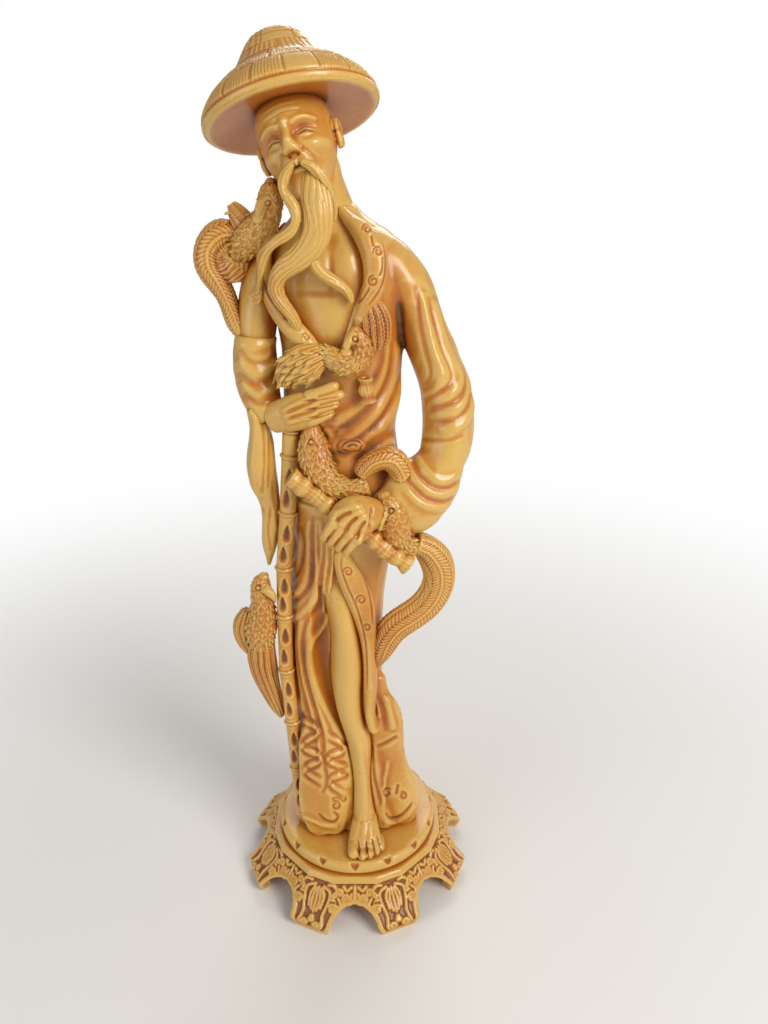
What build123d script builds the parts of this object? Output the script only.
"""A carved okimono figure: an old man in a woven hat with birds, on an arched plinth.

Millimetres, +Z up, +X to the viewer's right, +Y away from the viewer.
The origin is the middle of the plinth on the surface that it stands on.
Left and right in the names are the figure's own.
"""
import math
import os

from build123d import *

# Driving sizes
figure_height = 418.0
head_height = 46.0

# Plinth
plinth_reach = 68.6
plinth_height = 27.7
foot_flat_width = 21.5
plinth_wall = 7.0
plinth_top_thickness = 6.0
plinth_sides = 16
arch_count = 8
arch_half_width = 15.6

# Disc on the plinth
disc_radius = 48.0
disc_thickness = 8.0
disc_edge_round = 2.6
notch_count = 15
notch_width = 6.6
notch_depth = 2.2
notch_height = 5.4

# Robe
robe_wall = 2.2
fold_depth = 1.9
fold_shift_degrees = 26.0

# Hat
hat_radius = 38.5
hat_height = 37.6
hat_edge_thickness = 3.2
hat_hollow_rise = 7.0
hat_back_tilt = 16.0
hat_side_tilt = 13.0

# Head
head_back_tilt = 12.0
head_side_tilt = 18.0
head_turn = 6.0

# Bamboo
staff_radius = 4.4
staff_foot_radius = 3.7
joint_swell = 0.55
flute_radius = 4.5
flute_bore = 2.0
pipe_radius = 3.3
pipe_bore = 1.7
flute_joint_count = 5
pipe_joint_count = 1

# Pegs that hold the pieces together
peg_radius = 1.6
dowel_radius = 3.0
dowel_length = 18.0
disc_dowel_length = 9.0
peg_length = 8.0
disc_dowel_count = 3
disc_dowel_circle = 30.0

# One overrun for every cut
overrun = 2.0

disc_top = plinth_height + disc_thickness


def place(x_share, y_share, z_share):
    """A point of the figure: shares of its height, counted from the top of the disc."""
    return Vector(x_share * figure_height, y_share * figure_height, disc_top + z_share * figure_height)


def oval(plane, across, deep):
    return plane * Ellipse(across, deep)


def limb(station_shares, side=None):
    """A smooth tapering form: ovals square to a path, each with its own half width and half depth.

    A station is x, y, z, half width and half depth, all shares of the figure's height."""
    points = [place(*station[:3]) for station in station_shares]
    last = len(points) - 1
    sections = []
    for number, station in enumerate(station_shares):
        direction = points[min(number + 1, last)] - points[max(number - 1, 0)]
        across = Vector(side) if side else Vector(0, 1, 0).cross(direction)
        plane = Plane(origin=points[number], x_dir=across.normalized(), z_dir=direction.normalized())
        sections.append(oval(plane, station[3] * figure_height, station[4] * figure_height))
    return loft(sections)


def stack(station_shares, grow=0.0):
    """A standing form: level ovals one above the other."""
    sections = []
    for x, y, z, half_width, half_depth in station_shares:
        plane = Plane(origin=place(x, y, z), x_dir=(1, 0, 0), z_dir=(0, 0, 1))
        sections.append(oval(plane, half_width * figure_height + grow, half_depth * figure_height + grow))
    return loft(sections)


def rounded(station_shares, side=None):
    """A limb whose two ends close in small domes."""
    start_cap = dome_station(station_shares[1], station_shares[0])
    end_cap = dome_station(station_shares[-2], station_shares[-1])
    return limb([start_cap] + list(station_shares) + [end_cap], side)


def dome_station(inner, end):
    """The small station just past an end, in line with the last run."""
    reach_share, size_share = 0.62, 0.42
    run = [end[axis] - inner[axis] for axis in range(3)]
    length = math.sqrt(sum(part * part for part in run))
    reach = reach_share * min(end[3], end[4])
    spot = [end[axis] + run[axis] / length * reach for axis in range(3)]
    return (spot[0], spot[1], spot[2], end[3] * size_share, end[4] * size_share)


def largest(shape):
    """The main solid of a cut, without the crumbs that a cut leaves."""
    return max(shape.solids(), key=lambda solid: solid.volume)


def near(shape, other):
    """Whether the boxes of two solids meet, so that a cut can be worth its time."""
    a, b = shape.bounding_box(), other.bounding_box()
    return (a.min.X < b.max.X and b.min.X < a.max.X and a.min.Y < b.max.Y and b.min.Y < a.max.Y
            and a.min.Z < b.max.Z and b.min.Z < a.max.Z)


def cut(shape, *tools):
    """The shape without the room that the tools take up."""
    close = [tool for tool in tools if near(shape, tool)]
    return largest(shape - close) if close else largest(shape)


def peg(middle, direction, length, radius):
    plane = Plane(origin=middle, z_dir=Vector(direction).normalized())
    return plane * Cylinder(radius, length)


# Plinth

# Outline of the flare: height share of the plinth, reach share of the plinth
flare_shares = [(0.0, 0.965), (0.25, 1.0), (0.42, 0.925), (0.62, 0.845), (0.82, 0.780), (1.0, 0.735)]


def sixteen_sides(height, scale_share, inset=0.0):
    """A sixteen-sided outline: foot flats and arch sides in turn, all corners alike."""
    step = math.radians(360 / plinth_sides)
    foot_reach = plinth_reach * scale_share - inset
    flat_half = foot_flat_width * scale_share / 2
    arch_reach = flat_half * math.sin(step) + plinth_reach * scale_share * math.cos(step) - inset
    corners = []
    for number in range(plinth_sides):
        angle = number * step
        near = arch_reach if number % 2 == 0 else foot_reach
        beyond = foot_reach if number % 2 == 0 else arch_reach
        along = (beyond - near * math.cos(step)) / math.sin(step)
        corners.append((near * math.sin(angle) + along * math.cos(angle),
                        -near * math.cos(angle) + along * math.sin(angle)))
    return Plane.XY.offset(height) * make_face(Polyline(*corners, close=True))


def plinth_block(inset=0.0, lift_share=1.0):
    rings = [sixteen_sides(plinth_height * z, reach, inset) for z, reach in flare_shares]
    return loft(rings, ruled=True)


def arches():
    """Round-headed arches through the wall, one pair of opposite arches at a time."""
    tools = []
    for number in range(arch_count // 2):
        turn = 360 / arch_count * number
        bar = Rot(0, 0, turn) * Rot(90, 0, 0) * Cylinder(arch_half_width, 2 * plinth_reach + overrun)
        tools.append(bar)
    return tools


def make_plinth():
    ceiling = plinth_height - plinth_top_thickness
    hollow = plinth_block(plinth_wall) - Pos(0, 0, ceiling + plinth_height) * Box(
        2 * plinth_reach, 2 * plinth_reach, 2 * plinth_height)
    return cut(plinth_block(), hollow, *arches())


def make_disc():
    body = Pos(0, 0, plinth_height) * Cylinder(
        disc_radius, disc_thickness, align=(Align.CENTER, Align.CENTER, Align.MIN))
    body = fillet(body.edges().filter_by(GeomType.CIRCLE), disc_edge_round)
    wedge_face = make_face(Polyline((-notch_width / 2, 0), (notch_width / 2, 0), (0, -notch_height), close=True))
    notches = []
    for number in range(notch_count):
        turn = Rot(0, 0, 360 / notch_count * number)
        front = Plane(origin=(0, -disc_radius - overrun, disc_top), x_dir=(1, 0, 0), z_dir=(0, -1, 0))
        wedge = extrude(front * wedge_face, -(notch_depth + overrun))
        notches.append(turn * wedge)
    return cut(body, *notches)


# Trunk and robe

chest_shares = [
    (-0.007, -0.005, 0.510, 0.060, 0.046),
    (-0.007, -0.005, 0.545, 0.060, 0.046),
    (-0.010, -0.005, 0.590, 0.060, 0.047),
    (-0.010, -0.004, 0.640, 0.062, 0.049),
    (-0.008, -0.003, 0.692, 0.064, 0.051),
    (-0.010, -0.002, 0.742, 0.071, 0.053),
    (-0.013, 0.000, 0.776, 0.076, 0.050),
    (-0.015, 0.002, 0.805, 0.066, 0.042),
    (-0.018, 0.002, 0.824, 0.047, 0.033),
    (-0.021, 0.000, 0.846, 0.030, 0.027),
]
# Outline of the bare chest between the lapels, x and z
chest_opening_shares = [
    (-0.004, 0.850), (0.019, 0.798), (0.018, 0.767), (0.006, 0.735), (-0.012, 0.690),
    (-0.042, 0.700), (-0.070, 0.738), (-0.088, 0.765), (-0.088, 0.810), (-0.066, 0.850),
]
opening_reach_share = 0.25
# Level rings of the skirt: x, y, z, half width, half depth
skirt_shares = [
    (-0.004, 0.000, 0.000, 0.081, 0.054),
    (-0.005, 0.000, 0.030, 0.079, 0.053),
    (-0.010, 0.000, 0.090, 0.074, 0.050),
    (-0.014, 0.000, 0.150, 0.069, 0.048),
    (-0.021, 0.000, 0.210, 0.062, 0.047),
    (-0.026, 0.000, 0.270, 0.061, 0.047),
    (-0.024, 0.000, 0.330, 0.061, 0.048),
    (-0.019, 0.000, 0.390, 0.062, 0.049),
    (-0.012, -0.002, 0.450, 0.065, 0.050),
    (-0.008, -0.004, 0.510, 0.066, 0.052),
]
# Folds round the skirt, in shares of the fold depth, out and in
skirt_fold_shares = [
    0.6, -0.8, 0.7, -0.4, 0.9, -1.0, 0.4, 0.2, -0.7, 0.8, -0.5, 0.6,
    -0.9, 0.5, 0.3, -0.8, 0.9, -0.6, 0.4, -0.7, 0.8, -0.3, 0.5, -0.9,
]
# The dark hollow beside the leg
leg_hollow_shares = [
    (-0.040, -0.056, 0.400, 0.006, 0.012),
    (-0.040, -0.052, 0.350, 0.014, 0.022),
    (-0.038, -0.050, 0.290, 0.018, 0.026),
    (-0.030, -0.052, 0.230, 0.014, 0.022),
    (-0.020, -0.056, 0.180, 0.006, 0.014),
]


def skirt_core():
    """The whole skirt before anything is taken out of it."""
    return loft([skirt_ring(*ring) for ring in skirt_shares])


def skirt_ring(x, y, z, half_width, half_depth):
    """One level ring of the skirt, squarish, with its folds."""
    square_share, hem_share = 0.78, 0.35
    count = len(skirt_fold_shares)
    strength = fold_depth * (1 - (1 - hem_share) * z / skirt_shares[-1][2])
    twist = fold_shift_degrees * z / skirt_shares[-1][2]
    points = []
    for number in range(count):
        angle = math.radians(360 * number / count)
        run_x = math.copysign(abs(math.cos(angle)) ** square_share, math.cos(angle))
        run_y = math.copysign(abs(math.sin(angle)) ** square_share, math.sin(angle))
        place_in_list = (number + twist / 360 * count) % count
        before = int(place_in_list)
        after = (before + 1) % count
        blend = place_in_list - before
        fold = skirt_fold_shares[before] * (1 - blend) + skirt_fold_shares[after] * blend
        out = fold * strength
        points.append(place(x, y, z) + Vector(run_x * (half_width * figure_height + out),
                                              run_y * (half_depth * figure_height + out), 0))
    return make_face(Spline(*points, periodic=True))


def make_lower_robe(core, leg, staff):
    return cut(core, leg, staff, limb(leg_hollow_shares))


def make_chest():
    return stack(chest_shares)


def trunk_core():
    """The trunk with its robe on, before anything is taken out of it."""
    return stack(chest_shares[:-1], robe_wall)


def make_upper_robe(core, chest, staff):
    outline = [(x * figure_height, disc_top + z * figure_height) for x, z in chest_opening_shares]
    front = Plane(origin=(0, 0, 0), x_dir=(1, 0, 0), z_dir=(0, -1, 0))
    opening = extrude(front * make_face(Polyline(*outline, close=True)), opening_reach_share * figure_height)
    return cut(core, chest, staff, opening)


# Leg and foot

leg_shares = [
    (-0.019, -0.014, 0.430, 0.017, 0.021),
    (-0.014, -0.027, 0.370, 0.022, 0.029),
    (-0.008, -0.029, 0.293, 0.022, 0.030),
    (-0.008, -0.031, 0.226, 0.020, 0.029),
    (-0.002, -0.035, 0.185, 0.017, 0.026),
    (0.005, -0.037, 0.156, 0.017, 0.023),
    (0.008, -0.041, 0.120, 0.014, 0.019),
    (0.009, -0.045, 0.092, 0.012, 0.017),
    (0.010, -0.048, 0.060, 0.013, 0.018),
    (0.012, -0.051, 0.025, 0.016, 0.022),
    (0.012, -0.052, 0.005, 0.017, 0.023),
]
foot_shares = [
    (0.011, -0.026, 0.010, 0.010, 0.010),
    (0.011, -0.032, 0.014, 0.015, 0.016),
    (0.012, -0.050, 0.020, 0.018, 0.021),
    (0.013, -0.072, 0.013, 0.022, 0.017),
    (0.014, -0.088, 0.007, 0.024, 0.012),
    (0.014, -0.096, 0.006, 0.022, 0.009),
]
# Toes: x and y of the tip, and the half width
toe_shares = [
    (-0.002, -0.103, 0.0080), (0.010, -0.106, 0.0060), (0.020, -0.103, 0.0058),
    (0.029, -0.098, 0.0054), (0.036, -0.091, 0.0050),
]
toe_length_share = 0.022
toe_taper = 0.9
toe_gather = 0.1


def make_toe(x, y, half):
    root_x = x + (foot_shares[-1][0] - x) * toe_gather
    tip = half * toe_taper
    return rounded([
        (root_x, y + toe_length_share, half, half, half),
        (x, y + toe_length_share / 2, half, half, half),
        (x, y, tip, tip, tip),
    ], side=(1, 0, 0))


def below_disc_top():
    """The room under the top of the disc."""
    return Pos(0, 0, disc_top) * Box(
        2 * disc_radius, 2 * disc_radius, disc_thickness, align=(Align.CENTER, Align.CENTER, Align.MAX))


def make_leg():
    calf = limb(leg_shares)
    foot = limb(foot_shares, side=(1, 0, 0))
    toes = [make_toe(*toe) for toe in toe_shares]
    return cut(calf + foot + toes, below_disc_top())


# Border and hem panels

border_shares = [
    (-0.012, -0.050, 0.450, 0.008, 0.008),
    (-0.002, -0.052, 0.415, 0.014, 0.008),
    (0.013, -0.052, 0.370, 0.014, 0.008),
    (0.020, -0.049, 0.320, 0.009, 0.009),
    (0.022, -0.046, 0.270, 0.008, 0.012),
    (0.021, -0.046, 0.220, 0.007, 0.013),
    (0.027, -0.045, 0.180, 0.007, 0.013),
]
hem_right_shares = [
    (-0.055, -0.045, 0.190, 0.018, 0.008),
    (-0.050, -0.049, 0.140, 0.029, 0.009),
    (-0.046, -0.052, 0.090, 0.034, 0.010),
    (-0.045, -0.054, 0.040, 0.035, 0.010),
    (-0.043, -0.055, 0.010, 0.028, 0.009),
    (-0.042, -0.055, 0.000, 0.025, 0.008),
]
hem_left_shares = [
    (0.038, -0.024, 0.250, 0.012, 0.012),
    (0.040, -0.026, 0.200, 0.020, 0.014),
    (0.044, -0.028, 0.140, 0.024, 0.016),
    (0.052, -0.028, 0.080, 0.028, 0.018),
    (0.062, -0.024, 0.030, 0.031, 0.022),
    (0.064, -0.022, 0.010, 0.026, 0.020),
    (0.064, -0.022, 0.000, 0.024, 0.018),
]
collar_left_shares = [
    (-0.004, -0.020, 0.838, 0.006, 0.010),
    (0.014, -0.036, 0.818, 0.009, 0.010),
    (0.028, -0.048, 0.798, 0.012, 0.010),
    (0.031, -0.054, 0.772, 0.011, 0.010),
    (0.026, -0.057, 0.750, 0.010, 0.009),
    (0.014, -0.058, 0.728, 0.007, 0.008),
]
collar_right_shares = [
    (-0.080, -0.016, 0.815, 0.006, 0.010),
    (-0.088, -0.030, 0.790, 0.007, 0.012),
    (-0.086, -0.036, 0.765, 0.007, 0.012),
    (-0.072, -0.048, 0.735, 0.009, 0.010),
    (-0.052, -0.054, 0.712, 0.010, 0.009),
    (-0.036, -0.056, 0.694, 0.008, 0.008),
]


# Head, hat and hair

hat_centre_shares = (-0.0535, -0.007, 0.9205)
head_centre_shares = (-0.0465, -0.020, 0.898)
hat_bottom_share = 0.97
# Outline of the hat: radius share and height share
hat_outline_shares = [
    (0.99, 0.08), (0.955, 0.17), (0.885, 0.265), (0.79, 0.355), (0.66, 0.455), (0.55, 0.545),
    (0.46, 0.66), (0.385, 0.77), (0.285, 0.885), (0.15, 0.97), (0.0, 1.0),
]
# Level ovals of the head in shares of its height: height, half width, half depth, place forward
skull_shares = [
    (-0.50, 0.070, 0.080, 0.250),
    (-0.47, 0.130, 0.140, 0.220),
    (-0.38, 0.215, 0.230, 0.140),
    (-0.25, 0.285, 0.310, 0.075),
    (-0.10, 0.335, 0.370, 0.030),
    (0.05, 0.355, 0.400, 0.005),
    (0.20, 0.355, 0.415, -0.015),
    (0.33, 0.310, 0.370, -0.020),
    (0.44, 0.190, 0.250, -0.020),
    (0.50, 0.060, 0.080, -0.020),
]
neck_shares = [
    (-0.022, 0.002, 0.826, 0.028, 0.028),
    (-0.027, -0.002, 0.850, 0.027, 0.027),
    (-0.034, -0.008, 0.875, 0.027, 0.028),
    (-0.040, -0.010, 0.895, 0.026, 0.028),
]


def tilted_plane(centre_shares, back_tilt, side_tilt, turn=0.0):
    """A plane whose axis leans back and to the figure's right, turned about that axis."""
    lean = Rot(0, -side_tilt, 0) * Rot(-back_tilt, 0, 0) * Rot(0, 0, -turn)
    return Plane(Location(place(*centre_shares)) * lean)


hat_plane = tilted_plane(hat_centre_shares, hat_back_tilt, hat_side_tilt)
head_plane = tilted_plane(head_centre_shares, head_back_tilt, head_side_tilt, head_turn)


def make_hat():
    outline = [(hat_radius * r, hat_height * h) for r, h in hat_outline_shares]
    under_edge = (hat_radius - hat_edge_thickness, 0.0)
    bottom_edge = (hat_radius * hat_bottom_share, 0.0)
    under_top = (0.0, hat_hollow_rise)
    edges = [
        Spline(bottom_edge, *outline),
        Line(outline[-1], under_top),
        Line(under_top, under_edge),
        Line(under_edge, bottom_edge),
    ]
    profile = Plane.XZ * make_face(edges)
    return hat_plane * revolve(profile, Axis.Z)


def head_point(right_share, forward_share, up_share):
    """A point in the head's own frame, in shares of the head's height."""
    local = Vector(right_share * head_height, -forward_share * head_height, up_share * head_height)
    return head_plane.from_local_coords(local)


def head_limb(rows):
    """A form on the head: right, forward, up, half width and half height of level ovals."""
    sections = []
    for right, forward, up, half_width, half_depth in rows:
        plane = Plane(origin=head_point(right, forward, up), x_dir=head_plane.x_dir, z_dir=head_plane.z_dir)
        sections.append(oval(plane, half_width * head_height, half_depth * head_height))
    return loft(sections)


nose_shares = [
    (0.0, 0.375, 0.060, 0.028, 0.030),
    (0.0, 0.405, -0.010, 0.038, 0.050),
    (0.0, 0.425, -0.080, 0.062, 0.072),
    (0.0, 0.420, -0.125, 0.070, 0.070),
    (0.0, 0.395, -0.150, 0.045, 0.045),
]
ear_shares = [
    (0.365, -0.020, -0.150, 0.020, 0.040),
    (0.378, -0.020, -0.090, 0.034, 0.060),
    (0.384, -0.030, 0.000, 0.038, 0.080),
    (0.384, -0.040, 0.070, 0.034, 0.070),
    (0.372, -0.045, 0.110, 0.018, 0.035),
]


def make_head(hat, chest):
    skull = head_limb([(0.0, forward, up, wide, deep) for up, wide, deep, forward in skull_shares])
    ears = [head_limb([(side * row[0],) + row[1:] for row in ear_shares]) for side in (1, -1)]
    nose = head_limb(nose_shares)
    neck = limb(neck_shares)
    whole = skull + neck + nose + ears
    return cut(whole, hat, chest)


beard_shares = [
    (-0.030, -0.060, 0.872, 0.010, 0.009),
    (-0.028, -0.066, 0.855, 0.015, 0.012),
    (-0.026, -0.069, 0.832, 0.016, 0.013),
    (-0.030, -0.070, 0.812, 0.015, 0.012),
    (-0.046, -0.070, 0.793, 0.013, 0.011),
    (-0.064, -0.069, 0.780, 0.010, 0.010),
    (-0.072, -0.066, 0.764, 0.008, 0.009),
    (-0.066, -0.064, 0.746, 0.007, 0.009),
    (-0.056, -0.062, 0.731, 0.006, 0.008),
    (-0.050, -0.060, 0.716, 0.002, 0.003),
]
beard_lock_shares = [
    (-0.030, -0.072, 0.812, 0.004, 0.005),
    (-0.034, -0.070, 0.796, 0.006, 0.007),
    (-0.026, -0.067, 0.780, 0.006, 0.008),
    (-0.012, -0.064, 0.769, 0.006, 0.008),
    (0.000, -0.062, 0.760, 0.005, 0.007),
    (0.006, -0.061, 0.746, 0.002, 0.003),
]
moustache_right_shares = [
    (-0.046, -0.074, 0.880, 0.003, 0.004),
    (-0.056, -0.074, 0.870, 0.005, 0.005),
    (-0.056, -0.076, 0.852, 0.005, 0.005),
    (-0.047, -0.078, 0.834, 0.005, 0.005),
    (-0.050, -0.079, 0.822, 0.005, 0.005),
    (-0.066, -0.078, 0.810, 0.005, 0.005),
    (-0.080, -0.072, 0.798, 0.005, 0.006),
    (-0.086, -0.064, 0.780, 0.004, 0.006),
    (-0.090, -0.056, 0.766, 0.003, 0.005),
    (-0.104, -0.048, 0.750, 0.001, 0.002),
]
moustache_left_shares = [
    (-0.040, -0.075, 0.882, 0.003, 0.004),
    (-0.028, -0.073, 0.876, 0.005, 0.005),
    (-0.017, -0.068, 0.862, 0.005, 0.006),
    (-0.011, -0.060, 0.845, 0.004, 0.006),
    (-0.010, -0.058, 0.828, 0.002, 0.004),
]

# Arms, sleeves and hands

right_arm_shares = [
    (-0.060, 0.000, 0.785, 0.028, 0.034),
    (-0.085, -0.004, 0.768, 0.028, 0.033),
    (-0.098, -0.011, 0.740, 0.024, 0.028),
    (-0.103, -0.016, 0.705, 0.021, 0.025),
    (-0.106, -0.020, 0.660, 0.018, 0.021),
]
right_sleeve_shares = [
    (-0.104, -0.018, 0.704, 0.023, 0.028),
    (-0.106, -0.021, 0.676, 0.025, 0.029),
    (-0.104, -0.023, 0.650, 0.0245, 0.028),
    (-0.098, -0.028, 0.628, 0.021, 0.025),
    (-0.086, -0.035, 0.614, 0.018, 0.021),
]
right_palm_shares = [
    (-0.086, -0.044, 0.616, 0.018, 0.014),
    (-0.070, -0.054, 0.622, 0.020, 0.013),
    (-0.052, -0.061, 0.629, 0.021, 0.012),
    (-0.036, -0.064, 0.634, 0.018, 0.010),
]
left_sleeve_shares = [
    (0.022, 0.002, 0.796, 0.024, 0.034),
    (0.046, 0.002, 0.777, 0.030, 0.038),
    (0.069, 0.000, 0.744, 0.029, 0.038),
    (0.088, -0.004, 0.702, 0.026, 0.038),
    (0.104, -0.010, 0.663, 0.027, 0.038),
    (0.114, -0.015, 0.623, 0.029, 0.038),
    (0.115, -0.019, 0.585, 0.030, 0.037),
    (0.106, -0.024, 0.552, 0.027, 0.033),
]
left_cuff_shares = [
    (0.117, -0.019, 0.594, 0.024, 0.032),
    (0.110, -0.026, 0.562, 0.028, 0.032),
    (0.090, -0.036, 0.532, 0.040, 0.032),
    (0.068, -0.047, 0.514, 0.043, 0.029),
    (0.046, -0.059, 0.510, 0.028, 0.022),
    (0.032, -0.067, 0.509, 0.019, 0.016),
]
left_palm_shares = [
    (0.036, -0.072, 0.510, 0.014, 0.013),
    (0.020, -0.083, 0.512, 0.023, 0.017),
    (0.004, -0.091, 0.512, 0.026, 0.018),
    (-0.010, -0.090, 0.508, 0.020, 0.014),
]
# Where the sleeve meets the cuff at the elbow, and which way the cut faces
elbow_shares = (0.108, -0.024, 0.566)
elbow_direction = (-0.35, -0.2, -0.92)
elbow_reach_share = 0.5
hanging_sleeve_shares = [
    (-0.106, -0.036, 0.640, 0.006, 0.010),
    (-0.105, -0.036, 0.615, 0.009, 0.014),
    (-0.104, -0.034, 0.580, 0.013, 0.016),
    (-0.103, -0.031, 0.530, 0.014, 0.015),
    (-0.099, -0.028, 0.505, 0.011, 0.012),
    (-0.100, -0.024, 0.465, 0.009, 0.010),
    (-0.104, -0.020, 0.435, 0.005, 0.007),
    (-0.106, -0.018, 0.416, 0.001, 0.002),
]
finger_count = 4
longest_finger = 1
finger_step_share = 0.006
# Stations of the topmost straight finger, and how far the next one lies below it
right_finger_shares = [
    (-0.046, -0.064, 0.6468, 0.0052, 0.0057),
    (-0.026, -0.069, 0.6548, 0.0052, 0.0057),
    (-0.006, -0.067, 0.6598, 0.0047, 0.0052),
]
right_finger_pitch_share = 0.0099
# Stations of the first bent finger, and the step along the flute to the next one
left_finger_shares = [
    (-0.0129, -0.098, 0.5157, 0.0052, 0.0062),
    (-0.0229, -0.101, 0.5017, 0.0052, 0.0068),
    (-0.0289, -0.094, 0.4897, 0.0047, 0.0062),
    (-0.0289, -0.082, 0.4837, 0.0042, 0.0052),
]
left_finger_pitch_shares = (0.0086, -0.0064)


def beyond_elbow(side):
    """All the room on one side of the cut at the elbow."""
    reach = elbow_reach_share * figure_height
    plane = Plane(origin=place(*elbow_shares), z_dir=Vector(elbow_direction).normalized() * side)
    return plane * Box(reach, reach, reach, align=(Align.CENTER, Align.CENTER, Align.MIN))


def make_right_hand():
    fingers = []
    for number in range(finger_count):
        down = number * right_finger_pitch_share
        shorter = finger_step_share * abs(number - longest_finger)
        rows = [(x, y, z - down, wide, deep) for x, y, z, wide, deep in right_finger_shares]
        tip_x, *others = rows[-1]
        rows[-1] = (tip_x - shorter, *others)
        fingers.append(rounded(rows))
    return limb(right_palm_shares) + fingers


def make_left_hand(flute):
    fingers = []
    for number in range(finger_count):
        step_x, step_z = [number * pitch for pitch in left_finger_pitch_shares]
        fingers.append(rounded([
            (x + step_x, y, z + step_z, wide, deep) for x, y, z, wide, deep in left_finger_shares]))
    return cut(rounded(left_palm_shares) + fingers, flute)


# Bamboo staff, flute and pipe

# Joints of the staff from the ground up: x, y, z
staff_joint_shares = [
    (-0.074, -0.031, 0.000), (-0.079, -0.031, 0.018), (-0.083, -0.031, 0.100), (-0.086, -0.032, 0.180),
    (-0.090, -0.032, 0.265), (-0.088, -0.032, 0.349), (-0.085, -0.034, 0.419), (-0.076, -0.038, 0.496),
    (-0.069, -0.042, 0.570), (-0.066, -0.044, 0.602),
]
flute_end_shares = [(-0.066, -0.074, 0.556), (0.069, -0.076, 0.443)]
pipe_end_shares = [(0.020, -0.066, 0.668), (0.023, -0.063, 0.640)]


def bamboo(points, radii, swell):
    """A cane: narrow between its joints and thicker at each of them."""
    neck_share = 0.09
    sections = []
    last = len(points) - 1
    for number in range(last):
        start, end = points[number], points[number + 1]
        direction = (end - start).normalized()
        for share, extra in ((0.0, swell), (neck_share, 0.0), (1 - neck_share, 0.0)):
            spot = start + (end - start) * share
            radius = radii[number] + (radii[number + 1] - radii[number]) * share
            plane = Plane(origin=spot, x_dir=(0, -1, 0), z_dir=direction)
            sections.append(plane * Circle(radius + extra))
    final = Plane(origin=points[last], x_dir=(0, -1, 0), z_dir=(points[last] - points[last - 1]).normalized())
    sections.append(final * Circle(radii[last] + swell))
    return loft(sections, ruled=True)


def make_staff():
    points = [place(*joint) for joint in staff_joint_shares]
    last = len(points) - 1
    radii = [staff_foot_radius + (staff_radius - staff_foot_radius) * n / last for n in range(last + 1)]
    cane = bamboo(points, radii, joint_swell)
    return cut(cane, below_disc_top())


def cane_between(end_shares, radius, bore, joints):
    """A straight cane with a bore at each end."""
    start, end = [place(*spot) for spot in end_shares]
    points = [start + (end - start) * n / joints for n in range(joints + 1)]
    cane = bamboo(points, [radius] * (joints + 1), joint_swell)
    ends = []
    for spot in (start, end):
        axis = (end - start).normalized()
        ends.append(Plane(origin=spot, z_dir=axis) * Cylinder(bore, 2 * radius))
    return cut(cane, *ends)


def make_flute():
    return cane_between(flute_end_shares, flute_radius, flute_bore, flute_joint_count)


def make_pipe():
    return cane_between(pipe_end_shares, pipe_radius, pipe_bore, pipe_joint_count)


# Birds

shoulder_bird_shares = [
    (-0.120, -0.018, 0.790, 0.010, 0.012),
    (-0.106, -0.026, 0.803, 0.017, 0.016),
    (-0.090, -0.031, 0.818, 0.017, 0.017),
    (-0.080, -0.031, 0.836, 0.014, 0.015),
    (-0.077, -0.030, 0.850, 0.013, 0.014),
    (-0.076, -0.028, 0.862, 0.006, 0.007),
]
shoulder_beak_shares = [
    (-0.080, -0.040, 0.846, 0.005, 0.005), (-0.086, -0.045, 0.840, 0.004, 0.004),
    (-0.090, -0.046, 0.830, 0.001, 0.001),
]
shoulder_crest_shares = [
    (-0.104, -0.022, 0.812, 0.014, 0.010), (-0.112, -0.020, 0.828, 0.012, 0.008),
    (-0.121, -0.018, 0.842, 0.005, 0.004),
]
shoulder_tail_shares = [
    (-0.108, -0.012, 0.806, 0.010, 0.012),
    (-0.130, -0.014, 0.812, 0.013, 0.014),
    (-0.148, -0.016, 0.798, 0.013, 0.015),
    (-0.150, -0.018, 0.778, 0.012, 0.014),
    (-0.140, -0.020, 0.760, 0.010, 0.012),
    (-0.130, -0.022, 0.738, 0.008, 0.010),
    (-0.120, -0.024, 0.710, 0.006, 0.008),
    (-0.116, -0.026, 0.698, 0.002, 0.003),
]
shoulder_tail_disc_shares = [
    (-0.128, -0.013, 0.806, 0.014, 0.010), (-0.126, -0.015, 0.786, 0.022, 0.014),
    (-0.124, -0.016, 0.764, 0.014, 0.010),
]
chest_bird_shares = [
    (-0.026, -0.064, 0.696, 0.009, 0.009),
    (-0.010, -0.067, 0.687, 0.013, 0.012),
    (0.005, -0.068, 0.685, 0.014, 0.013),
    (0.016, -0.067, 0.694, 0.012, 0.012),
    (0.016, -0.066, 0.708, 0.010, 0.011),
    (0.010, -0.066, 0.718, 0.006, 0.007),
]
chest_beak_shares = [
    (0.008, -0.070, 0.713, 0.004, 0.004), (0.001, -0.072, 0.704, 0.003, 0.003), (0.000, -0.071, 0.695, 0.001, 0.001),
]
chest_wing_shares = [
    (0.030, -0.058, 0.698, 0.010, 0.008), (0.029, -0.060, 0.714, 0.019, 0.010),
    (0.027, -0.060, 0.732, 0.019, 0.009), (0.022, -0.059, 0.748, 0.010, 0.006),
]
chest_tail_shares = [
    (-0.022, -0.062, 0.694, 0.010, 0.009),
    (-0.036, -0.064, 0.688, 0.018, 0.012),
    (-0.052, -0.063, 0.679, 0.021, 0.012),
    (-0.066, -0.059, 0.670, 0.014, 0.010),
    (-0.070, -0.055, 0.656, 0.006, 0.006),
]
waist_bird_shares = [
    (-0.042, -0.056, 0.606, 0.010, 0.009),
    (-0.040, -0.060, 0.584, 0.018, 0.014),
    (-0.034, -0.064, 0.560, 0.018, 0.015),
    (-0.018, -0.067, 0.542, 0.015, 0.014),
    (0.004, -0.067, 0.536, 0.013, 0.012),
    (0.022, -0.064, 0.540, 0.009, 0.010),
]
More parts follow.
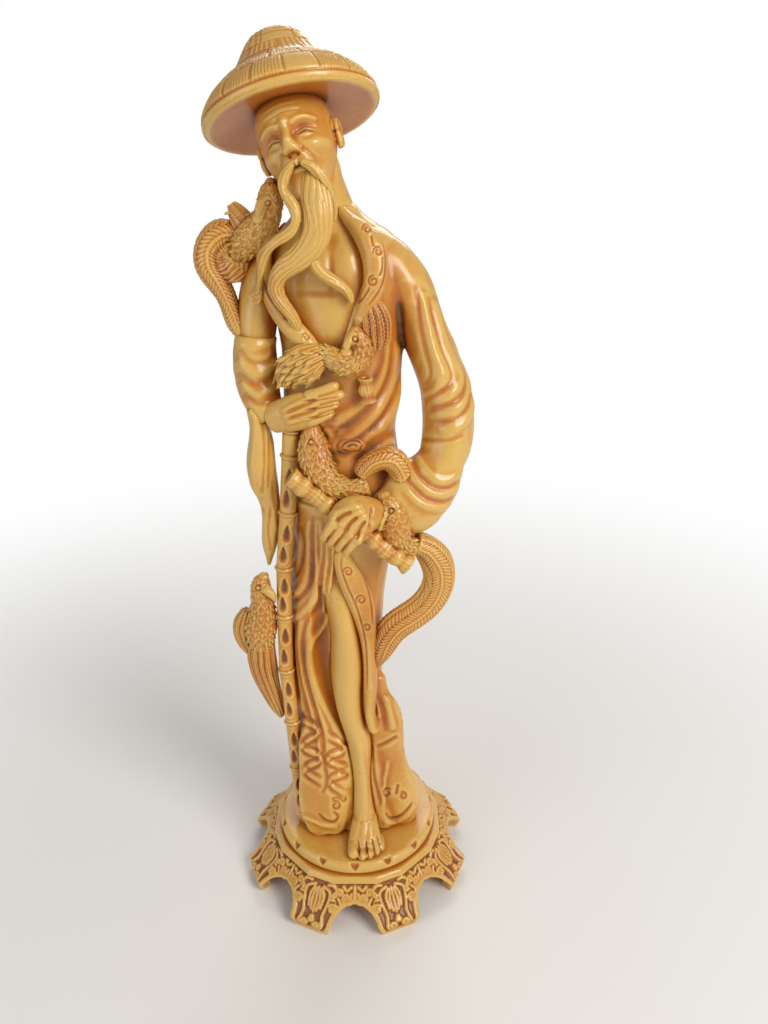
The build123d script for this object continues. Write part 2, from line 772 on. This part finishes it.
waist_tail_shares = [
    (0.014, -0.060, 0.552, 0.006, 0.007),
    (0.028, -0.058, 0.568, 0.010, 0.010),
    (0.048, -0.055, 0.570, 0.012, 0.012),
    (0.060, -0.053, 0.552, 0.011, 0.012),
    (0.062, -0.055, 0.530, 0.008, 0.010),
]
toggle_shares = [
    (-0.014, -0.055, 0.588, 0.003, 0.003), (-0.008, -0.056, 0.588, 0.008, 0.008),
    (0.004, -0.056, 0.588, 0.009, 0.009), (0.014, -0.055, 0.588, 0.007, 0.007),
    (0.019, -0.054, 0.588, 0.002, 0.002),
]
hip_bird_shares = [
    (0.040, -0.068, 0.530, 0.008, 0.008),
    (0.046, -0.070, 0.518, 0.016, 0.014),
    (0.052, -0.069, 0.500, 0.019, 0.016),
    (0.054, -0.066, 0.478, 0.018, 0.016),
    (0.062, -0.060, 0.462, 0.016, 0.014),
    (0.076, -0.052, 0.456, 0.011, 0.012),
]
hip_beak_shares = [
    (0.040, -0.082, 0.516, 0.005, 0.005), (0.036, -0.086, 0.506, 0.004, 0.004), (0.036, -0.085, 0.494, 0.001, 0.001),
]
hip_tail_shares = [
    (0.078, -0.052, 0.462, 0.012, 0.013),
    (0.094, -0.046, 0.450, 0.015, 0.014),
    (0.107, -0.040, 0.425, 0.018, 0.014),
    (0.108, -0.036, 0.396, 0.018, 0.013),
    (0.096, -0.036, 0.370, 0.018, 0.013),
    (0.076, -0.038, 0.352, 0.018, 0.013),
    (0.056, -0.041, 0.338, 0.018, 0.012),
    (0.042, -0.043, 0.318, 0.016, 0.012),
    (0.034, -0.043, 0.294, 0.010, 0.010),
    (0.030, -0.042, 0.276, 0.003, 0.004),
]
low_bird_shares = [
    (-0.112, -0.030, 0.404, 0.006, 0.006),
    (-0.116, -0.030, 0.392, 0.012, 0.012),
    (-0.116, -0.029, 0.370, 0.014, 0.014),
    (-0.118, -0.028, 0.345, 0.019, 0.016),
    (-0.122, -0.027, 0.318, 0.020, 0.016),
    (-0.120, -0.026, 0.296, 0.014, 0.012),
]
low_beak_shares = [
    (-0.110, -0.040, 0.392, 0.005, 0.005), (-0.102, -0.043, 0.386, 0.004, 0.004), (-0.098, -0.042, 0.376, 0.001, 0.001),
]
low_wing_shares = [
    (-0.138, -0.022, 0.350, 0.006, 0.008), (-0.143, -0.021, 0.330, 0.014, 0.012),
    (-0.142, -0.020, 0.306, 0.014, 0.011), (-0.134, -0.021, 0.282, 0.006, 0.007),
]
low_tail_shares = [
    (-0.122, -0.025, 0.300, 0.018, 0.012),
    (-0.122, -0.024, 0.270, 0.019, 0.011),
    (-0.118, -0.023, 0.240, 0.016, 0.010),
    (-0.110, -0.023, 0.210, 0.012, 0.008),
    (-0.104, -0.023, 0.190, 0.008, 0.006),
    (-0.102, -0.023, 0.180, 0.003, 0.003),
]


def make_bird(body_shares, *extra_shares):
    """A bird's body with its beak, crest or wing in one piece."""
    return limb(body_shares) + [limb(rows) for rows in extra_shares]


# Pegs and dowels at the seams: middle as shares, direction, and the pieces that it goes through

bird_peg_shares = [
    ((-0.098, -0.020, 0.800), (0.3, 0.3, -1), ("shoulder_bird", "upper_robe", "right_arm")),
    ((0.004, -0.056, 0.686), (0, 1, 0), ("chest_bird", "upper_robe", "chest")),
    ((-0.034, -0.050, 0.570), (0, 1, 0), ("waist_bird", "upper_robe", "chest")),
    ((0.056, -0.056, 0.490), (0, 1, 0), ("hip_bird", "left_cuff")),
    ((-0.100, -0.031, 0.345), (1, 0, 0), ("low_bird", "bamboo_staff")),
]
arm_peg_shares = [
    ((-0.066, -0.002, 0.778), (-1, 0, -0.4), ("right_arm", "upper_robe", "chest")),
    ((0.050, 0.000, 0.760), (1, 0, -0.6), ("left_sleeve", "upper_robe", "chest")),
]
hand_peg_shares = [
    ((-0.086, -0.040, 0.616), (-1, 0.7, 0), ("right_hand", "right_sleeve")),
    ((0.036, -0.068, 0.510), (1, 0.6, 0), ("left_hand", "left_cuff")),
]
figure_dowel_shares = [(-0.050, 0.010), (0.034, 0.014)]


def peg_row(places, length):
    """Pegs of one kind, each with its own direction."""
    return [peg(place(*spot), direction, length, peg_radius) for spot, direction, _ in places]


def disc_dowels():
    dowels = []
    for number in range(disc_dowel_count):
        middle = Vector(disc_dowel_circle, 0, plinth_height).rotate(Axis.Z, 360 / disc_dowel_count * number)
        dowels.append(peg(middle, (0, 0, 1), disc_dowel_length, peg_radius))
    return dowels


def figure_dowels():
    return [peg(place(x, y, 0), (0, 0, 1), disc_dowel_length, dowel_radius) for x, y in figure_dowel_shares]


def bore_hosts(pieces, pegs, *hosts):
    """Take the room of the pegs out of the pieces that they join."""
    for host in hosts:
        pieces[host] = cut(pieces[host], *pegs)


def add_pegs(pieces):
    """Every peg and dowel, with its holes."""
    pieces["disc_dowels"] = Compound(disc_dowels())
    bore_hosts(pieces, disc_dowels(), "plinth", "plinth_disc")
    pieces["figure_dowels"] = Compound(figure_dowels())
    bore_hosts(pieces, figure_dowels(), "plinth_disc", "lower_robe")
    waist_middle = place(*chest_shares[0][:3])
    pieces["waist_dowel"] = peg(waist_middle, (0, 0, 1), dowel_length, dowel_radius)
    bore_hosts(pieces, [pieces["waist_dowel"]], "chest", "lower_robe")
    pieces["neck_peg"] = peg(place(*neck_shares[1][:3]), (0, 0, 1), peg_length, peg_radius)
    bore_hosts(pieces, [pieces["neck_peg"]], "head", "chest")
    hat_middle = hat_plane.from_local_coords(Vector(0, 0, hat_hollow_rise))
    pieces["hat_peg"] = peg(hat_middle, hat_plane.z_dir, peg_length, peg_radius)
    bore_hosts(pieces, [pieces["hat_peg"]], "hat", "head")
    pieces["staff_pin"] = peg(place(*staff_joint_shares[0]), (0, 0, 1), peg_length, peg_radius)
    bore_hosts(pieces, [pieces["staff_pin"]], "plinth_disc", "bamboo_staff", "lower_robe")
    for name, places in (("arm_pegs", arm_peg_shares), ("hand_pegs", hand_peg_shares),
                         ("bird_pegs", bird_peg_shares)):
        pegs = peg_row(places, peg_length)
        pieces[name] = Compound(pegs)
        for one, spot in zip(pegs, places):
            bore_hosts(pieces, [one], *spot[2])


def build():
    """All pieces by name, each cut to what carries it."""
    pieces = {"plinth": make_plinth(), "plinth_disc": make_disc()}
    base = pieces["plinth_disc"]
    leg = pieces["leg"] = make_leg()
    staff = pieces["bamboo_staff"] = make_staff()
    flute = pieces["flute"] = make_flute()
    hat = pieces["hat"] = make_hat()
    chest = pieces["chest"] = cut(make_chest(), staff)
    trunk = trunk_core()
    skirt = skirt_core()
    pieces["lower_robe"] = make_lower_robe(skirt, leg, staff)
    robe = pieces["upper_robe"] = make_upper_robe(trunk, chest, staff)
    head = pieces["head"] = make_head(hat, chest)

    # Lapels, arms and sleeves
    lapel_left = pieces["collar_left"] = cut(limb(collar_left_shares), chest, robe, head)
    lapel_right = pieces["collar_right"] = cut(limb(collar_right_shares), chest, robe, head)
    arm = pieces["right_arm"] = cut(limb(right_arm_shares), trunk, lapel_right)
    roll = pieces["right_sleeve"] = cut(limb(right_sleeve_shares), arm, trunk, staff)
    hand = pieces["right_hand"] = cut(make_right_hand(), roll, arm, trunk, staff)
    flap = pieces["hanging_sleeve"] = cut(limb(hanging_sleeve_shares), roll, arm, hand, trunk, skirt, staff)
    fist = pieces["left_hand"] = cut(make_left_hand(flute), trunk, skirt)
    cuff = pieces["left_cuff"] = cut(limb(left_cuff_shares), beyond_elbow(-1), fist, flute, trunk, skirt)
    sleeve = pieces["left_sleeve"] = cut(limb(left_sleeve_shares), beyond_elbow(1), trunk, lapel_left)

    # Hair
    beard = pieces["beard"] = cut(limb(beard_shares), head, chest, robe, lapel_right)
    lock = pieces["beard_lock"] = cut(limb(beard_lock_shares), beard, chest, lapel_left)
    strand = pieces["moustache_right"] = cut(
        limb(moustache_right_shares), head, beard, lock, chest, lapel_right)
    pieces["moustache_left"] = cut(limb(moustache_left_shares), head, beard, chest, lapel_left)

    # Border and hems
    hem_left = pieces["hem_panel_left"] = cut(limb(hem_left_shares), skirt, leg, base)
    hem_right = pieces["hem_panel_right"] = cut(limb(hem_right_shares), skirt, leg, staff, base)
    border = pieces["robe_border"] = cut(limb(border_shares), skirt, leg, flute, fist, hem_left)

    # Birds, from the top down
    bird = pieces["shoulder_bird"] = cut(
        make_bird(shoulder_bird_shares, shoulder_beak_shares, shoulder_crest_shares),
        trunk, arm, lapel_right, beard, strand, head)
    pieces["shoulder_bird_tail"] = cut(
        make_bird(shoulder_tail_shares, shoulder_tail_disc_shares), bird, trunk, arm, roll, lapel_right)
    pipe = pieces["short_pipe"] = cut(make_pipe(), trunk)
    bird = pieces["chest_bird"] = cut(
        make_bird(chest_bird_shares, chest_beak_shares), chest, robe, pipe, lapel_left, hand)
    pieces["chest_bird_wing"] = cut(limb(chest_wing_shares), bird, chest, robe, lapel_left)
    pieces["chest_bird_tail"] = cut(limb(chest_tail_shares), bird, hand, chest, robe, arm, roll, lapel_right)
    bird = pieces["waist_bird"] = cut(limb(waist_bird_shares), trunk, staff, hand, flute, fist)
    tail = pieces["waist_bird_tail"] = cut(limb(waist_tail_shares), bird, trunk, cuff, fist, flute, sleeve)
    pieces["waist_toggle"] = cut(limb(toggle_shares, side=(0, 0, 1)), bird, tail, trunk)
    bird = pieces["hip_bird"] = cut(
        make_bird(hip_bird_shares, hip_beak_shares), trunk, skirt, cuff, fist, flute, tail, sleeve)
    pieces["hip_bird_tail"] = cut(limb(hip_tail_shares), bird, skirt, cuff, flute, border, hem_left)
    bird = pieces["low_bird"] = cut(make_bird(low_bird_shares, low_beak_shares), staff, skirt, flap)
    wing = pieces["low_bird_wing"] = cut(limb(low_wing_shares), bird)
    pieces["low_bird_tail"] = cut(limb(low_tail_shares), bird, wing, staff, skirt, hem_right)
    add_pegs(pieces)
    return pieces


def main():
    os.makedirs("parts", exist_ok=True)
    for name, solid in build().items():
        export_step(solid, os.path.join("parts", name + ".step"))


if __name__ == "__main__":
    main()
